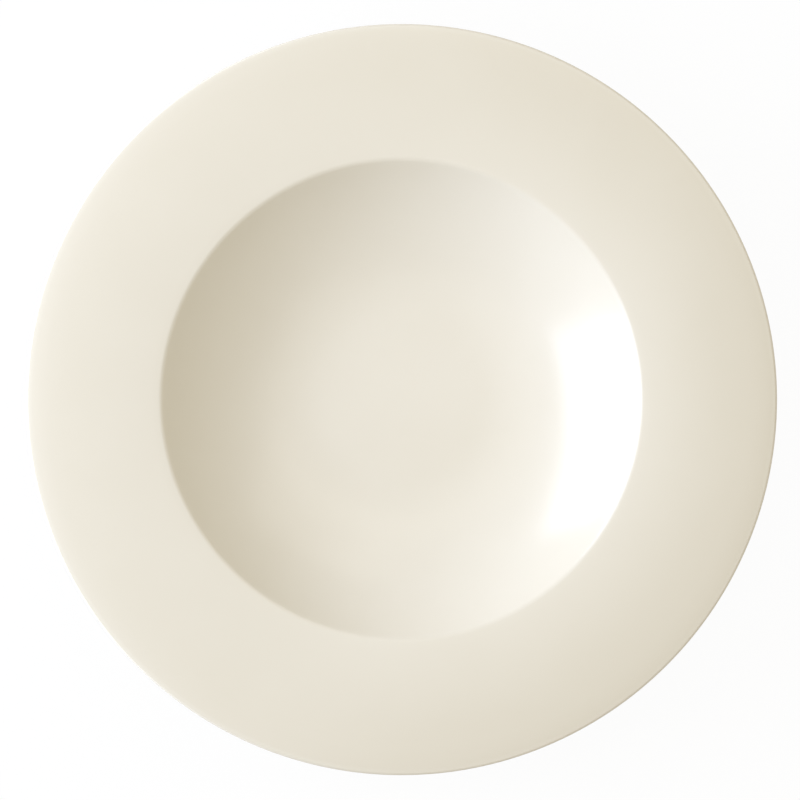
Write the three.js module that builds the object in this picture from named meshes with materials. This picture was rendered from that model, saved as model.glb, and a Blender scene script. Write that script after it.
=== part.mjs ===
// Pasta plate: a round ivory porcelain plate with a wide, softly crowned rim, a deep curved well and
// a low foot ring. The fired porcelain body carries two coats of glaze, one over its face, lip and
// back and one inside the foot ring. The ring that the plate stands on is bare porcelain.
// Millimetres, +Z up. The origin is the centre of the circle on which the foot ring stands.
import * as THREE from "three";

// Plan
const PLATE_DIAMETER = 300; // over the glazed lip
const WELL_DIAMETER = 192; // where the well's wall meets the rim, before the edge is rounded
const FLOOR_DIAMETER = 66; // flat middle of the well
const FOOT_DIAMETER = 108; // outside of the foot ring, at the table
const FOOT_WIDTH = 5; // of the foot ring, at the table
const LIP_EASE_WIDTH = 8; // outer band of the rim, which bends down to the lip

// Heights
const FOOT_HEIGHT = 3.2; // from the table to the base inside the foot ring
const WELL_DEPTH = 28; // from the rim's inner edge to the floor of the well
const RIM_RISE = 3; // from the rim's inner edge to its lip
const RIM_CROWN = 1.2; // how far the rim's arc stands above the straight line across it

// Walls
const BASE_THICKNESS = 5;
const WALL_THICKNESS = 5;
const RIM_THICKNESS = 4.2;
const GLAZE_THICKNESS = 0.3;
const GLAZE_BOND = 0.01; // hairline between the porcelain and the glaze that is fused to it

// Roundings
const VERGE_RADIUS = 3.5; // inner edge of the rim
const UNDER_VERGE_RADIUS = 9; // hollow below that edge
const LIP_EASE_RADIUS = 90; // bend of the rim's outer band
const LIP_TOP_RADIUS = 0.8;
const LIP_UNDER_RADIUS = 2;
const FOOT_FILLET = 2.5; // outside of the foot ring, into the wall
const RECESS_FILLET = 1.6; // inside of the foot ring, into the base
const FOOT_CORNER = 0.8; // both edges of the standing face
const FOOT_DRAFT = THREE.MathUtils.degToRad(12); // lean of the foot ring's flanks

// Facets
const SEGMENTS = 60; // round the axis
const CHORD_ERROR = 0.2; // of an arc's facets
const WIDEST_TURN = Math.PI / 6; // between two facets of an arc
const JOIN = 1e-6; // points closer than this are one point

const IVORY_GLAZE = new THREE.MeshStandardMaterial({
  name: "ivory_glaze",
  color: 0xeae5d7,
  roughness: 0.15,
  metalness: 0,
});
const BARE_PORCELAIN = new THREE.MeshStandardMaterial({
  name: "porcelain",
  color: 0xe9e2d3,
  roughness: 0.7,
  metalness: 0,
});

// Half of the plate's section is drawn in (r, z), from the base out to the lip and back to the floor.
const point = (r, z) => new THREE.Vector2(r, z);
const polar = (angle, length) => point(length * Math.cos(angle), length * Math.sin(angle));
const direction = (from, to) => Math.atan2(to.y - from.y, to.x - from.x);
const UP = Math.PI / 2;
const DOWN = -Math.PI / 2;
const OUTWARD = 0;

// An arc of the section runs between two directions that its surface faces. Its radius is positive
// where the surface bulges and negative where it is hollow.
const arc = (centre, radius, from, to) => ({ centre, radius, from, to });

// Points of an arc whose surface is raised by a coat.
function arcPoints({ centre, radius, from, to }, coat) {
  const finestTurn = 2 * Math.acos(1 - CHORD_ERROR / Math.abs(radius));
  const steps = Math.ceil(Math.abs(to - from) / Math.min(WIDEST_TURN, finestTurn));
  const step = (to - from) / steps;
  return Array.from({ length: steps + 1 }, (_, i) =>
    polar(from + i * step, radius + coat).add(centre),
  );
}

// Points of a chain of arcs that face the same way where they meet, with straight lines between
// those that lie apart.
function chainPoints(arcs, coat) {
  return arcs
    .flatMap((each) => arcPoints(each, coat))
    .filter((p, i, all) => i === 0 || p.distanceTo(all[i - 1]) > JOIN);
}

// The point where two circles meet, left of the line from the first centre to the second.
function circlesMeet(centreA, radiusA, centreB, radiusB) {
  const span = centreA.distanceTo(centreB);
  const along = (span ** 2 + radiusA ** 2 - radiusB ** 2) / (2 * span);
  const aside = Math.sqrt(radiusA ** 2 - along ** 2);
  const heading = direction(centreA, centreB);
  return centreA.clone().add(polar(heading, along)).add(polar(heading + UP, aside));
}

// Well: an arc that leaves the flat floor level and climbs to the rim's inner edge
const floorHeight = FOOT_HEIGHT + BASE_THICKNESS;
const wellRun = (WELL_DIAMETER - FLOOR_DIAMETER) / 2;
const wellRadius = (wellRun ** 2 + WELL_DEPTH ** 2) / (2 * WELL_DEPTH);
const wellCentre = point(FLOOR_DIAMETER / 2, floorHeight + wellRadius);
const wallRadius = wellRadius + WALL_THICKNESS;

// Rim: a shallow crowned arc from the well's edge to the lip, with its underside at an even distance
const lipRadius = PLATE_DIAMETER / 2 - GLAZE_THICKNESS;
const rimInner = point(WELL_DIAMETER / 2, floorHeight + WELL_DEPTH);
const rimOuter = point(lipRadius, rimInner.y + RIM_RISE);
const rimRadius = rimInner.distanceToSquared(rimOuter) / (8 * RIM_CROWN) + RIM_CROWN / 2;
const rimCentre = rimInner
  .clone()
  .lerp(rimOuter, 0.5)
  .add(polar(direction(rimInner, rimOuter) + DOWN, rimRadius - RIM_CROWN));
const underRimRadius = rimRadius - RIM_THICKNESS;

// The rim's inner edge and the hollow below it, each touching the well and the rim
const vergeCentre = circlesMeet(
  wellCentre,
  wellRadius + VERGE_RADIUS,
  rimCentre,
  rimRadius - VERGE_RADIUS,
);
const underVergeCentre = circlesMeet(
  wellCentre,
  wallRadius + UNDER_VERGE_RADIUS,
  rimCentre,
  underRimRadius - UNDER_VERGE_RADIUS,
);

// Lip: the rim's outer band bends down, and two roundings share the thickness that is left
const onCircle = (centre, radius, r) =>
  point(r, centre.y + Math.sqrt(radius ** 2 - (r - centre.x) ** 2));
const easeStart = onCircle(rimCentre, rimRadius, lipRadius - LIP_EASE_WIDTH);
const easeCentre = easeStart.clone().lerp(rimCentre, LIP_EASE_RADIUS / rimRadius);
const edgeTop = onCircle(easeCentre, LIP_EASE_RADIUS, lipRadius);
const edgeUnder = onCircle(rimCentre, underRimRadius, lipRadius);
const edgeThickness = edgeTop.y - edgeUnder.y;
const lipShare = Math.min(1, edgeThickness / (LIP_TOP_RADIUS + LIP_UNDER_RADIUS));
const lipTop = LIP_TOP_RADIUS * lipShare;
const lipUnder = LIP_UNDER_RADIUS * lipShare;
const lipTopCentre = onCircle(easeCentre, LIP_EASE_RADIUS - lipTop, lipRadius - lipTop);
const lipUnderCentre = onCircle(rimCentre, underRimRadius + lipUnder, lipRadius - lipUnder);

// Foot ring: two leaning flanks with rounded edges at the table
const footOuter = FOOT_DIAMETER / 2;
const footInner = footOuter - FOOT_WIDTH;
const outerFlank = -FOOT_DRAFT;
const innerFlank = FOOT_DRAFT - Math.PI;
const cornerInset = (FOOT_CORNER * (1 - Math.sin(FOOT_DRAFT))) / Math.cos(FOOT_DRAFT);
const outerCornerCentre = point(footOuter - cornerInset, FOOT_CORNER);
const innerCornerCentre = point(footInner + cornerInset, FOOT_CORNER);

// The fillet outside the foot ring touches the outer flank and the wall.
const filletStart = point(footOuter, 0).add(polar(outerFlank, FOOT_FILLET));
const filletReach = wallRadius + FOOT_FILLET;
const fromWell = filletStart.clone().sub(wellCentre);
const flankUp = polar(outerFlank + UP, 1);
const flankDrop = fromWell.dot(flankUp);
const filletRise = -flankDrop - Math.sqrt(flankDrop ** 2 - fromWell.lengthSq() + filletReach ** 2);
const footFilletCentre = filletStart.clone().addScaledVector(flankUp, filletRise);

// The fillet inside it touches the inner flank and the base.
const recessDrop = FOOT_HEIGHT - RECESS_FILLET;
const recessRun = (RECESS_FILLET + recessDrop * Math.sin(FOOT_DRAFT)) / Math.cos(FOOT_DRAFT);
const recessCentre = point(footInner - recessRun, recessDrop);

// Directions that the surface faces where two arcs meet
const atFootFillet = direction(wellCentre, footFilletCentre);
const atUnderVerge = direction(wellCentre, underVergeCentre);
const atUnderRim = direction(underVergeCentre, rimCentre);
const atLipUnder = direction(lipUnderCentre, rimCentre);
const atLipTop = direction(easeCentre, lipTopCentre);
const atEase = direction(rimCentre, easeStart);
const atRim = direction(rimCentre, vergeCentre);
const atVerge = direction(vergeCentre, wellCentre);

const recessArcs = [arc(recessCentre, -RECESS_FILLET, DOWN, innerFlank)];
const standingArcs = [
  arc(innerCornerCentre, FOOT_CORNER, innerFlank, DOWN),
  arc(outerCornerCentre, FOOT_CORNER, DOWN, outerFlank),
];
const shellArcs = [
  arc(footFilletCentre, -FOOT_FILLET, outerFlank, atFootFillet),
  arc(wellCentre, wallRadius, atFootFillet, atUnderVerge),
  arc(underVergeCentre, -UNDER_VERGE_RADIUS, atUnderVerge, atUnderRim),
  arc(rimCentre, -underRimRadius, atUnderRim, atLipUnder),
  arc(lipUnderCentre, lipUnder, atLipUnder, OUTWARD),
  arc(lipTopCentre, lipTop, OUTWARD, atLipTop),
  arc(easeCentre, LIP_EASE_RADIUS, atLipTop, atEase),
  arc(rimCentre, rimRadius, atEase, atRim),
  arc(vergeCentre, VERGE_RADIUS, atRim, atVerge),
  arc(wellCentre, -wellRadius, atVerge, UP),
];

// Middles of the base and of the floor, raised by a coat
const baseMiddle = (coat) => point(0, FOOT_HEIGHT - coat);
const floorMiddle = (coat) => point(0, floorHeight + coat);

// The porcelain body, from the middle of its base round the lip to the middle of the floor
const bodyOutline = [
  baseMiddle(0),
  ...chainPoints([...recessArcs, ...standingArcs, ...shellArcs], 0),
  floorMiddle(0),
];

// Both coats thin out to an edge on the foot ring's flanks, where its bare face begins.
const glazeEdges = chainPoints(standingArcs, GLAZE_BOND);

// The coat over the floor, wall, rim, lip and back
const coatOutline = [
  floorMiddle(GLAZE_BOND),
  ...chainPoints(shellArcs, GLAZE_BOND).toReversed(),
  glazeEdges.at(-1),
  ...chainPoints(shellArcs, GLAZE_THICKNESS),
  floorMiddle(GLAZE_THICKNESS),
];

// The coat inside the foot ring
const baseGlazeOutline = [
  baseMiddle(GLAZE_THICKNESS),
  ...chainPoints(recessArcs, GLAZE_THICKNESS),
  glazeEdges[0],
  ...chainPoints(recessArcs, GLAZE_BOND).toReversed(),
  baseMiddle(GLAZE_BOND),
];

// A solid of revolution about +Z
function turned(name, outline, material) {
  const mesh = new THREE.Mesh(new THREE.LatheGeometry(outline, SEGMENTS), material);
  mesh.name = name;
  mesh.rotation.x = UP;
  return mesh;
}

const pastaPlate = new THREE.Group();
pastaPlate.name = "pasta_plate";
pastaPlate.add(
  turned("porcelain_body", bodyOutline, BARE_PORCELAIN),
  turned("glaze_coat", coatOutline, IVORY_GLAZE),
  turned("base_glaze", baseGlazeOutline, IVORY_GLAZE),
);

export default pastaPlate;
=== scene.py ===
"""Looks of the pasta plate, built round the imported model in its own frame: metres, +Z up.

The plate's three pieces, its porcelain body and two coats of glaze, are turned again from its section
with fine, smooth faces and stand for their CAD nodes. Their glaze and bare porcelain are made of
nodes. A tall window light, two soft lights, a white floor and a camera that looks straight down make
the studio.
"""

import cmath
import math
from collections import namedtuple

import bpy
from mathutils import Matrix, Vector


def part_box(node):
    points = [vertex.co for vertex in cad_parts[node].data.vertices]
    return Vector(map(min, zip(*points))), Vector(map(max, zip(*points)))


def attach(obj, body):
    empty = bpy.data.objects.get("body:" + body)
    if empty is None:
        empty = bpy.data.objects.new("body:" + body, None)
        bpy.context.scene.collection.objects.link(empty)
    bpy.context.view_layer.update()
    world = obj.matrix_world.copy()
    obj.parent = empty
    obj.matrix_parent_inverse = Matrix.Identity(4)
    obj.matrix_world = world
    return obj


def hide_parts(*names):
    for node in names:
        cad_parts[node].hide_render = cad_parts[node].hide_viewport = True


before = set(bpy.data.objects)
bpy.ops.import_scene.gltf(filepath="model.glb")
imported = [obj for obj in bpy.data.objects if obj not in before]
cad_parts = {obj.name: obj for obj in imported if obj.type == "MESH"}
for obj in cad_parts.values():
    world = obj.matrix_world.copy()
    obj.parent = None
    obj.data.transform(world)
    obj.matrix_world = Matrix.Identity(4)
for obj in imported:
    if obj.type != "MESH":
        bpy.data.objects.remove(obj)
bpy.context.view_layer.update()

MM = 0.001

# Plan of the plate
plate_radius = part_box("glaze_coat")[1].x
WELL_DIAMETER = 192 * MM  # where the well's wall meets the rim, before the edge is rounded
FLOOR_DIAMETER = 66 * MM  # flat middle of the well
FOOT_DIAMETER = 108 * MM  # outside of the foot ring, at the table
FOOT_WIDTH = 5 * MM
LIP_EASE_WIDTH = 8 * MM  # outer band of the rim, which bends down to the lip

# Its heights and walls
FOOT_HEIGHT = 3.2 * MM
WELL_DEPTH = 28 * MM
RIM_RISE = 3 * MM
RIM_CROWN = 1.2 * MM
BASE_THICKNESS = 5 * MM
WALL_THICKNESS = 5 * MM
RIM_THICKNESS = 4.2 * MM
GLAZE_THICKNESS = 0.3 * MM
GLAZE_BOND = 0.01 * MM  # hairline between the porcelain and the glaze that is fused to it

# Its roundings
VERGE_RADIUS = 3.5 * MM  # inner edge of the rim
UNDER_VERGE_RADIUS = 9 * MM
LIP_EASE_RADIUS = 90 * MM
LIP_TOP_RADIUS = 0.8 * MM
LIP_UNDER_RADIUS = 2 * MM
FOOT_FILLET = 2.5 * MM
RECESS_FILLET = 1.6 * MM
FOOT_CORNER = 0.8 * MM
FOOT_DRAFT = math.radians(12)

# Glaze line on the foot ring: waves as (how many round the plate, height, phase)
GLAZE_WAVES = ((3, 0.10 * MM, 0.4), (7, 0.06 * MM, 2.0), (13, 0.04 * MM, 4.1), (29, 0.02 * MM, 1.3))
BEAD_STEPS = 8  # faces across the glaze's rounded end

# Fineness of the meshes
SEGMENTS = 256  # round the axis
SECTION_STEP = 2.5 * MM  # along the section
FINEST_TURN = math.radians(9)  # between two faces of a small rounding
SHARP_ANGLE = math.radians(50)
JOIN = 1e-9  # points closer than this are one point

UP = math.pi / 2
DOWN = -math.pi / 2
OUTWARD = 0.0

# A point of the half section is a complex number, r + z * 1j. An arc runs between two directions that
# its surface faces. Its radius is positive where the surface bulges and negative where it is hollow.
Arc = namedtuple("Arc", "centre radius start end")


def arc_points(arc, coat):
    """Points of an arc whose surface is raised by a coat."""
    sweep = arc.end - arc.start
    steps = math.ceil(max(abs(sweep) / FINEST_TURN, abs(sweep * arc.radius) / SECTION_STEP))
    turns = [arc.start + sweep * i / steps for i in range(steps + 1)]
    return [arc.centre + cmath.rect(arc.radius + coat, turn) for turn in turns]


def chain_points(arcs, coat):
    """Points of a chain of arcs that face the same way where they meet."""
    chain = []
    for arc in arcs:
        for point in arc_points(arc, coat):
            if not chain or abs(point - chain[-1]) > JOIN:
                chain.append(point)
    return chain


def spread(points):
    """The points, with more of them on long straight stretches."""
    even = []
    for here, there in zip(points, points[1:]):
        steps = math.ceil(abs(there - here) / (2 * SECTION_STEP))
        even += [here + (there - here) * i / steps for i in range(steps)]
    return even + points[-1:]


def circles_meet(centre_a, radius_a, centre_b, radius_b):
    """The point where two circles meet, left of the line from the first centre to the second."""
    span = abs(centre_b - centre_a)
    along = (span**2 + radius_a**2 - radius_b**2) / (2 * span)
    aside = math.sqrt(radius_a**2 - along**2)
    return centre_a + (centre_b - centre_a) / span * complex(along, aside)


def on_circle(centre, radius, r):
    """The upper point of a circle at a distance r from the axis."""
    return complex(r, centre.imag + math.sqrt(radius**2 - (r - centre.real) ** 2))


def direction(start, end):
    """The angle of the way from one point to another."""
    return cmath.phase(end - start)


def dot(a, b):
    return (a * b.conjugate()).real


# Well, and the wall outside it
floor_height = FOOT_HEIGHT + BASE_THICKNESS
well_run = (WELL_DIAMETER - FLOOR_DIAMETER) / 2
well_radius = (well_run**2 + WELL_DEPTH**2) / (2 * WELL_DEPTH)
well_centre = complex(FLOOR_DIAMETER / 2, floor_height + well_radius)
wall_radius = well_radius + WALL_THICKNESS

# Rim
lip_radius = plate_radius - GLAZE_THICKNESS
rim_inner = complex(WELL_DIAMETER / 2, floor_height + WELL_DEPTH)
rim_outer = complex(lip_radius, rim_inner.imag + RIM_RISE)
rim_radius = abs(rim_outer - rim_inner) ** 2 / (8 * RIM_CROWN) + RIM_CROWN / 2
across_rim = direction(rim_inner, rim_outer)
rim_centre = (rim_inner + rim_outer) / 2 + cmath.rect(rim_radius - RIM_CROWN, across_rim + DOWN)
under_rim_radius = rim_radius - RIM_THICKNESS
verge_centre = circles_meet(
    well_centre, well_radius + VERGE_RADIUS, rim_centre, rim_radius - VERGE_RADIUS
)
under_verge_centre = circles_meet(
    well_centre, wall_radius + UNDER_VERGE_RADIUS, rim_centre, under_rim_radius - UNDER_VERGE_RADIUS
)

# Lip: two roundings share the thickness that the bend leaves
ease_start = on_circle(rim_centre, rim_radius, lip_radius - LIP_EASE_WIDTH)
ease_centre = ease_start + (rim_centre - ease_start) * LIP_EASE_RADIUS / rim_radius
edge_top = on_circle(ease_centre, LIP_EASE_RADIUS, lip_radius)
edge_under = on_circle(rim_centre, under_rim_radius, lip_radius)
lip_share = min(1, abs(edge_top - edge_under) / (LIP_TOP_RADIUS + LIP_UNDER_RADIUS))
lip_top = LIP_TOP_RADIUS * lip_share
lip_under = LIP_UNDER_RADIUS * lip_share
lip_top_centre = on_circle(ease_centre, LIP_EASE_RADIUS - lip_top, lip_radius - lip_top)
lip_under_centre = on_circle(rim_centre, under_rim_radius + lip_under, lip_radius - lip_under)

# Foot ring
foot_outer = FOOT_DIAMETER / 2
foot_inner = foot_outer - FOOT_WIDTH
outer_flank = -FOOT_DRAFT
inner_flank = FOOT_DRAFT - math.pi
corner_inset = FOOT_CORNER * (1 - math.sin(FOOT_DRAFT)) / math.cos(FOOT_DRAFT)
outer_corner_centre = complex(foot_outer - corner_inset, FOOT_CORNER)
inner_corner_centre = complex(foot_inner + corner_inset, FOOT_CORNER)
fillet_start = foot_outer + cmath.rect(FOOT_FILLET, outer_flank)
flank_up = cmath.rect(1, outer_flank + UP)
flank_drop = dot(fillet_start - well_centre, flank_up)
fillet_reach = wall_radius + FOOT_FILLET
fillet_gap = abs(fillet_start - well_centre) ** 2 - fillet_reach**2
fillet_rise = -flank_drop - math.sqrt(flank_drop**2 - fillet_gap)
foot_fillet_centre = fillet_start + fillet_rise * flank_up
recess_drop = FOOT_HEIGHT - RECESS_FILLET
recess_run = (RECESS_FILLET + recess_drop * math.sin(FOOT_DRAFT)) / math.cos(FOOT_DRAFT)
recess_centre = complex(foot_inner - recess_run, recess_drop)

# Directions that the surface faces where two arcs meet
at_foot_fillet = direction(well_centre, foot_fillet_centre)
at_under_verge = direction(well_centre, under_verge_centre)
at_under_rim = direction(under_verge_centre, rim_centre)
at_lip_under = direction(lip_under_centre, rim_centre)
at_lip_top = direction(ease_centre, lip_top_centre)
at_ease = direction(rim_centre, ease_start)
at_rim = direction(rim_centre, verge_centre)
at_verge = direction(verge_centre, well_centre)

recess_arcs = [Arc(recess_centre, -RECESS_FILLET, DOWN, inner_flank)]
standing_arcs = [
    Arc(inner_corner_centre, FOOT_CORNER, inner_flank, DOWN),
    Arc(outer_corner_centre, FOOT_CORNER, DOWN, outer_flank),
]
shell_arcs = [
    Arc(foot_fillet_centre, -FOOT_FILLET, outer_flank, at_foot_fillet),
    Arc(well_centre, wall_radius, at_foot_fillet, at_under_verge),
    Arc(under_verge_centre, -UNDER_VERGE_RADIUS, at_under_verge, at_under_rim),
    Arc(rim_centre, -under_rim_radius, at_under_rim, at_lip_under),
    Arc(lip_under_centre, lip_under, at_lip_under, OUTWARD),
    Arc(lip_top_centre, lip_top, OUTWARD, at_lip_top),
    Arc(ease_centre, LIP_EASE_RADIUS, at_lip_top, at_ease),
    Arc(rim_centre, rim_radius, at_ease, at_rim),
    Arc(verge_centre, VERGE_RADIUS, at_rim, at_verge),
    Arc(well_centre, -well_radius, at_verge, UP),
]


def base_middle(coat):
    return complex(0, FOOT_HEIGHT - coat)


def floor_middle(coat):
    return complex(0, floor_height + coat)


def glaze_line(angle):
    """How far above the foot ring's rounded edge the glaze ends, at an angle round the plate."""
    reach = sum(height for count, height, phase in GLAZE_WAVES)
    return reach + sum(height * math.sin(count * angle + phase) for count, height, phase in GLAZE_WAVES)


def bead(edge, full, faces):
    """Points of a coat's rounded end, from its edge on the flank to the point of full thickness."""
    outward = cmath.rect(1, faces)
    high = outward * dot(full - edge, outward)
    along = full - edge - high
    turns = [UP * i / BEAD_STEPS for i in range(BEAD_STEPS)]
    return [edge + along * (1 - math.cos(turn)) + high * math.sin(turn) for turn in turns]


def body_outline(angle):
    """The porcelain body, the same at every angle, from the middle of its base to that of the floor."""
    arcs = chain_points(recess_arcs + standing_arcs + shell_arcs, 0)
    return spread([base_middle(0), *arcs, floor_middle(0)])


def coat_outline(angle):
    """The glaze over the back, lip, rim and well, from the floor's underside round to its face."""
    outer = chain_points(shell_arcs, GLAZE_THICKNESS)
    inner = chain_points(shell_arcs, GLAZE_BOND)[::-1]
    edge = chain_points(standing_arcs, GLAZE_BOND)[-1] + glaze_line(angle) * flank_up
    rounded = bead(edge, outer[0], outer_flank)
    return spread([floor_middle(GLAZE_BOND), *inner, *rounded, *outer, floor_middle(GLAZE_THICKNESS)])


def base_glaze_outline(angle):
    """The glaze inside the foot ring, from the middle of its face round to its back."""
    outer = chain_points(recess_arcs, GLAZE_THICKNESS)
    inner = chain_points(recess_arcs, GLAZE_BOND)[::-1]
    inner_flank_up = cmath.rect(1, inner_flank + DOWN)
    edge = chain_points(standing_arcs, GLAZE_BOND)[0] + glaze_line(angle) * inner_flank_up
    rounded = bead(edge, outer[-1], inner_flank)[::-1]
    return spread([base_middle(GLAZE_THICKNESS), *outer, *rounded, *inner, base_middle(GLAZE_BOND)])


def turned_mesh(name, outline_at):
    """A closed mesh of revolution. Its outline at each angle starts and ends on the axis."""
    angles = [2 * math.pi * i / SEGMENTS for i in range(SEGMENTS)]
    outlines = [outline_at(angle) for angle in angles]
    rings = len(outlines[0]) - 2
    points = [(0, 0, outlines[0][0].imag)]
    for angle, outline in zip(angles, outlines):
        for p in outline[1:-1]:
            points.append((p.real * math.cos(angle), p.real * math.sin(angle), p.imag))
    points.append((0, 0, outlines[0][-1].imag))
    last = len(points) - 1
    faces = []
    for i in range(SEGMENTS):
        here = 1 + i * rings
        there = 1 + (i + 1) % SEGMENTS * rings
        faces.append((0, there, here))
        for j in range(rings - 1):
            faces.append((here + j, there + j, there + j + 1, here + j + 1))
        faces.append((last, here + rings - 1, there + rings - 1))
    mesh = bpy.data.meshes.new(name)
    mesh.from_pydata(points, [], faces)
    mesh.polygons.foreach_set("use_smooth", [True] * len(faces))
    mesh.set_sharp_from_angle(angle=SHARP_ANGLE)
    return mesh


def add_piece(name, outline_at, material, node):
    """A turned piece that stands for a CAD node."""
    piece = bpy.data.objects.new(name, turned_mesh(name, outline_at))
    piece.data.materials.append(material)
    bpy.context.scene.collection.objects.link(piece)
    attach(piece, "root")
    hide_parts(node)


# Sockets of a mix node that mixes colours
MIX_SHARE = 0
MIX_FIRST = 6
MIX_SECOND = 7
MIX_RESULT = 2


def set_inputs(tree, node, inputs):
    """Sets inputs of a shader node, each to a value or to another node's output."""
    for socket, value in inputs.items():
        if isinstance(value, bpy.types.NodeSocket):
            tree.links.new(value, node.inputs[socket])
        else:
            node.inputs[socket].default_value = value


def add_node(tree, kind, inputs, **settings):
    """A new shader node with its inputs and settings."""
    node = tree.nodes.new(kind)
    for setting, value in settings.items():
        setattr(node, setting, value)
    set_inputs(tree, node, inputs)
    return node


def math_node(tree, operation, *values):
    inputs = dict(enumerate(values))
    return add_node(tree, "ShaderNodeMath", inputs, operation=operation).outputs["Value"]


def vector_node(tree, operation, *values):
    inputs = dict(enumerate(values))
    return add_node(tree, "ShaderNodeVectorMath", inputs, operation=operation)


def noise(tree, place, scale, detail):
    inputs = {"Vector": place, "Scale": scale, "Detail": detail}
    return add_node(tree, "ShaderNodeTexNoise", inputs).outputs["Fac"]


def between(tree, value, low, high, to_low, to_high):
    """The value, mapped smoothly from one range to another and kept inside it."""
    inputs = {"Value": value, "From Min": low, "From Max": high, "To Min": to_low, "To Max": to_high}
    mapped = add_node(tree, "ShaderNodeMapRange", inputs, interpolation_type="SMOOTHSTEP")
    return mapped.outputs["Result"]


def blend(tree, share, first, second):
    """A mix of two colours."""
    inputs = {MIX_SHARE: share, MIX_FIRST: first, MIX_SECOND: second}
    return add_node(tree, "ShaderNodeMix", inputs, data_type="RGBA").outputs[MIX_RESULT]


def bump(tree, **inputs):
    """The normal of a surface that a height of 0 to 1 raises, up to a distance."""
    return add_node(tree, "ShaderNodeBump", {"Strength": 1.0, **inputs}).outputs["Normal"]


def object_place(tree):
    return add_node(tree, "ShaderNodeTexCoord", {}).outputs["Object"]


def from_axis(tree, place):
    """The way to a place from the plate's axis, at its own height."""
    return vector_node(tree, "MULTIPLY", place, (1, 1, 0)).outputs["Vector"]


def axis_distance(tree, place):
    return vector_node(tree, "LENGTH", from_axis(tree, place)).outputs["Value"]


# Noise textures as (scale, detail), and the range that holds most of their values
CLOUDS = (14, 3)
GLOSS = (45, 4)
RIPPLE = (60, 2)
PEEL = (420, 1)
GRAIN = (1800, 4)
SCUFFS = (260, 5)
NOISE_RANGE = (0.3, 0.7)

# Glaze
IVORY = (0.792, 0.753, 0.668, 1)
# Deeper ivory: the tone of the clouds and of glaze pooled round the foot, and painted shade towards the
# lip
IVORY_DEEP_AND_SHADE = (0.732, 0.687, 0.588, 1)
# Pale ivory: thinner glaze along the lip, and painted light on its shaded edge
IVORY_PALE = (0.825, 0.790, 0.710, 1)
CLOUD_DEPTH = 0.25  # share of the deeper ivory in the clouds
POOL_DEPTH = 0.6  # its share in the pool round the foot
RIM_SHADE_DEPTH = 0.9  # its share at the lip, as painted shade
POOL_TOP = 7 * MM  # height where the glaze starts to pool
POOL_BOTTOM = 2 * MM  # height where the pool is deepest
RIM_SHADE_FROM = 66 * MM  # distance from the axis where painted shade starts to darken the ivory towards the lip
THIN_AND_LIT_WIDTH = 3 * MM  # band along the lip where the glaze thins, and where painted light lifts the lip's shaded edge
# share of the pale ivory along the lip: partly thinner glaze, partly painted light
THIN_AND_LIT_PALENESS = 0.45
GLAZE_ROUGHNESS = (0.20, 0.24)
GLAZE_IOR = 1.5
RIPPLE_HEIGHT = 0.02 * MM
PEEL_HEIGHT = 0.003 * MM

# Bare porcelain
BISCUIT = (0.790, 0.755, 0.680, 1)
SCUFFED = (0.600, 0.575, 0.525, 1)
SCUFF_RANGE = (0.5, 0.7)
SCUFF_DEPTH = 0.6
SCUFF_SQUEEZE = 8  # how much finer the scuffs are across the ring than along it
BISCUIT_ROUGHNESS = (0.62, 0.85)
TURNED_LINES = {"Scale": 900, "Distortion": 1.5, "Detail": 2}
TURNED_SHARE = 0.4  # height of the turned lines, as a share of the grain's
GRAIN_HEIGHT = 0.03 * MM


def ivory_colour(tree, place):
    """Ivory with soft clouds, deeper where the glaze pools round the foot, darker towards the lip by
    painted shade, and paler along the lip, partly by thinner glaze and partly by painted light.
    """
    height = add_node(tree, "ShaderNodeSeparateXYZ", {"Vector": place}).outputs["Z"]
    radius = axis_distance(tree, place)
    clouds = between(tree, noise(tree, place, *CLOUDS), *NOISE_RANGE, 0, CLOUD_DEPTH)
    pooled = between(tree, height, POOL_TOP, POOL_BOTTOM, 0, POOL_DEPTH)
    # Painted shade: the ivory darkens from here out to the lip
    outer = between(tree, radius, RIM_SHADE_FROM, plate_radius, 0, RIM_SHADE_DEPTH)
    # Paler lip: partly thinner glaze, partly painted light that lifts its shaded edge
    thin_glaze_and_light = between(tree, radius, plate_radius - THIN_AND_LIT_WIDTH, plate_radius, 0, THIN_AND_LIT_PALENESS)
    deeper_and_shaded = math_node(tree, "ADD", clouds, math_node(tree, "MAXIMUM", pooled, outer))
    return blend(tree, thin_glaze_and_light, blend(tree, deeper_and_shaded, IVORY, IVORY_DEEP_AND_SHADE), IVORY_PALE)


def ivory_glaze():
    """Glossy ivory glaze with a faint ripple and a finer peel on it."""
    material = bpy.data.materials.new("glossy_ivory_glaze")
    material.use_nodes = True
    tree = material.node_tree
    place = object_place(tree)
    ripple = bump(tree, Height=noise(tree, place, *RIPPLE), Distance=RIPPLE_HEIGHT)
    peel = bump(tree, Height=noise(tree, place, *PEEL), Distance=PEEL_HEIGHT, Normal=ripple)
    surface = {
        "Base Color": ivory_colour(tree, place),
        "Roughness": between(tree, noise(tree, place, *GLOSS), *NOISE_RANGE, *GLAZE_ROUGHNESS),
        "IOR": GLAZE_IOR,
        "Normal": peel,
    }
    set_inputs(tree, tree.nodes["Principled BSDF"], surface)
    return material


def ring_scuffs(tree, place):
    """Scuffs that run along the foot ring."""
    radius = axis_distance(tree, place)
    across = add_node(
        tree, "ShaderNodeCombineXYZ", {"Z": math_node(tree, "MULTIPLY", radius, SCUFF_SQUEEZE)}
    ).outputs["Vector"]
    turn = vector_node(tree, "NORMALIZE", from_axis(tree, place)).outputs["Vector"]
    ring = (foot_outer, foot_outer, 0)
    along_ring = vector_node(tree, "MULTIPLY_ADD", turn, ring, across).outputs["Vector"]
    return between(tree, noise(tree, along_ring, *SCUFFS), *SCUFF_RANGE, 0, SCUFF_DEPTH)


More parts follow.
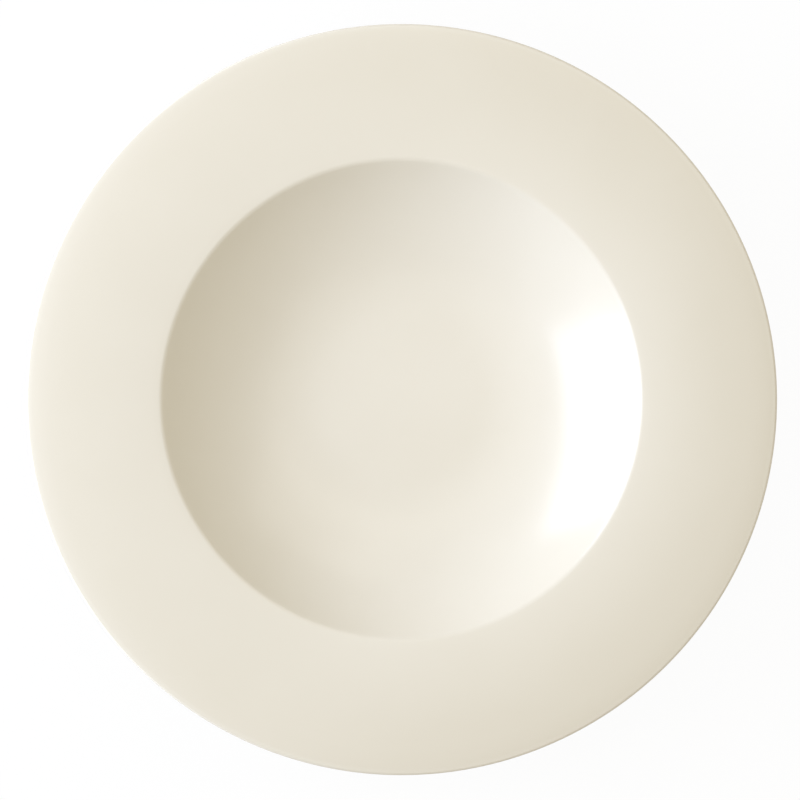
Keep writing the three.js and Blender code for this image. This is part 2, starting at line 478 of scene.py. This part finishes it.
def bare_porcelain():
    """Unglazed porcelain of the standing ring: matte, grained, with turned lines and grey scuffs."""
    material = bpy.data.materials.new("bare_porcelain")
    material.use_nodes = True
    tree = material.node_tree
    place = object_place(tree)
    grain = noise(tree, place, *GRAIN)
    lines = add_node(
        tree,
        "ShaderNodeTexWave",
        {"Vector": place, **TURNED_LINES},
        wave_type="RINGS",
        rings_direction="Z",
    ).outputs["Fac"]
    height = math_node(tree, "MULTIPLY_ADD", lines, TURNED_SHARE, grain)
    surface = {
        "Base Color": blend(tree, ring_scuffs(tree, place), BISCUIT, SCUFFED),
        "Roughness": between(tree, grain, *NOISE_RANGE, *BISCUIT_ROUGHNESS),
        "Normal": bump(tree, Height=height, Distance=GRAIN_HEIGHT),
    }
    set_inputs(tree, tree.nodes["Principled BSDF"], surface)
    return material


# Floor and ambient light
WHITE = (1, 1, 1, 1)
FLOOR_SIDE = 6.0
FLOOR_COLOUR = (0.9, 0.9, 0.9, 1)
FLOOR_WHITENESS = 0.95  # share of plain white that the camera sees in the floor
AMBIENT = 0.457
AMBIENT_COLOUR = (1.09, 1.0, 0.80, 1)


def seen(tree):
    """1 for rays from the camera, and for those that mirrors and glass send on, else 0."""
    path = add_node(tree, "ShaderNodeLightPath", {})
    total = math_node(tree, "ADD", path.outputs["Is Camera Ray"], path.outputs["Is Glossy Ray"])
    total = math_node(tree, "ADD", total, path.outputs["Is Transmission Ray"])
    return math_node(tree, "MINIMUM", total, 1)


def mix_shaders(tree, share, first, second):
    """The first node's shader where the share is 0, and the second's where it is 1."""
    inputs = {0: share, 1: first.outputs[0], 2: second.outputs[0]}
    return add_node(tree, "ShaderNodeMixShader", inputs).outputs["Shader"]


def add_floor():
    """A white floor that takes the plate's soft shadow."""
    half = FLOOR_SIDE / 2
    mesh = bpy.data.meshes.new("floor")
    corners = [(-half, -half, 0), (half, -half, 0), (half, half, 0), (-half, half, 0)]
    mesh.from_pydata(corners, [], [(0, 1, 2, 3)])
    floor = bpy.data.objects.new("floor", mesh)
    bpy.context.scene.collection.objects.link(floor)
    material = bpy.data.materials.new("floor")
    material.use_nodes = True
    tree = material.node_tree
    tree.nodes.remove(tree.nodes["Principled BSDF"])
    lit = add_node(tree, "ShaderNodeBsdfDiffuse", {"Color": FLOOR_COLOUR})
    white = add_node(tree, "ShaderNodeEmission", {"Color": WHITE, "Strength": 1.0})
    share = math_node(tree, "MULTIPLY", seen(tree), FLOOR_WHITENESS)
    surface = {"Surface": mix_shaders(tree, share, lit, white)}
    set_inputs(tree, tree.nodes["Material Output"], surface)
    mesh.materials.append(material)


def set_world():
    """Soft light from all round, and a white background."""
    world = bpy.data.worlds.new("studio")
    world.use_nodes = True
    bpy.context.scene.world = world
    tree = world.node_tree
    tree.nodes.remove(tree.nodes["Background"])
    light = add_node(tree, "ShaderNodeBackground", {"Color": AMBIENT_COLOUR, "Strength": AMBIENT})
    white = add_node(tree, "ShaderNodeBackground", {"Color": WHITE, "Strength": 1.0})
    surface = {"Surface": mix_shaders(tree, seen(tree), light, white)}
    set_inputs(tree, tree.nodes["World Output"], surface)


# The window stands on the table and leans over it. Before its turn it faces +X. Its near and far sides
# are measured along its foot, from the point closest to the plate's middle.
WINDOW_TURN = math.radians(16.4)
WINDOW_LEAN = math.radians(39.9)
WINDOW_DISTANCE = 1.27
WINDOW_NEAR = -0.088
WINDOW_FAR = 1.14
WINDOW_HEIGHT = 1.0
WINDOW_BRIGHTNESS = 4.66
WINDOW_COLOUR = (0.89, 1.0, 1.25)

# The soft lights are square and face the plate's middle
SoftLight = namedtuple("SoftLight", "name place side brightness")
SOFT_LIGHTS = (
    SoftLight("softbox", place=(0.38, 0.61, 1.06), side=0.9, brightness=0.84),
    SoftLight("overhead", place=(0.0, 0.0, 1.5), side=1.35, brightness=0.45),
)
SOFT_COLOUR = (1.02, 1.0, 0.92)


def add_light(name, place, faces, width, height, brightness, colour):
    """A rectangular light. Its brightness is what a white card would need to look as bright."""
    light = bpy.data.lights.new(name, "AREA")
    light.shape = "RECTANGLE"
    light.size = width
    light.size_y = height
    light.energy = brightness * math.pi * width * height
    light.color = colour
    lamp = bpy.data.objects.new(name, light)
    lamp.location = place
    lamp.rotation_euler = faces.to_track_quat("-Z", "Y").to_euler()
    lamp.visible_camera = False
    bpy.context.scene.collection.objects.link(lamp)


def add_window():
    """A tall, cool window light at the left."""
    level = Vector((math.cos(WINDOW_TURN), math.sin(WINDOW_TURN), 0))
    along = Vector((-level.y, level.x, 0))
    rise = level * math.sin(WINDOW_LEAN) + Vector((0, 0, math.cos(WINDOW_LEAN)))
    foot = along * (WINDOW_NEAR + WINDOW_FAR) / 2 - level * WINDOW_DISTANCE
    middle = foot + rise * WINDOW_HEIGHT / 2
    width = WINDOW_FAR - WINDOW_NEAR
    faces = along.cross(rise)
    add_light("window", middle, faces, width, WINDOW_HEIGHT, WINDOW_BRIGHTNESS, WINDOW_COLOUR)


def add_soft_lights():
    """A soft light high behind, and a broad one straight above."""
    for light in SOFT_LIGHTS:
        place = Vector(light.place)
        add_light(light.name, place, -place, light.side, light.side, light.brightness, SOFT_COLOUR)


# Image, in pixels, and camera
IMAGE_SIDE = 800
PLATE_ACROSS = 751.2
PLATE_CENTRE = (401.5, 399.6)  # from the image's left and top
CAMERA_HEIGHT = 1.8
SENSOR = 36.0  # width in millimetres, as is the lens


def add_camera():
    """A camera that looks straight down, with +Y up in the image."""
    data = bpy.data.cameras.new("camera")
    pixel = 2 * plate_radius / PLATE_ACROSS
    data.sensor_width = SENSOR
    data.lens = SENSOR * (CAMERA_HEIGHT - lip_top_centre.imag) / (IMAGE_SIDE * pixel)
    camera = bpy.data.objects.new("camera", data)
    right = (IMAGE_SIDE / 2 - PLATE_CENTRE[0]) * pixel
    up = (PLATE_CENTRE[1] - IMAGE_SIDE / 2) * pixel
    camera.location = (right, up, CAMERA_HEIGHT)
    bpy.context.scene.collection.objects.link(camera)
    bpy.context.scene.camera = camera


glaze = ivory_glaze()
add_piece("plate_body", body_outline, bare_porcelain(), "porcelain_body")
add_piece("plate_glaze", coat_outline, glaze, "glaze_coat")
add_piece("plate_base_glaze", base_glaze_outline, glaze, "base_glaze")
add_floor()
set_world()
add_window()
add_soft_lights()
add_camera()
bpy.context.scene.view_settings.view_transform = "Standard"
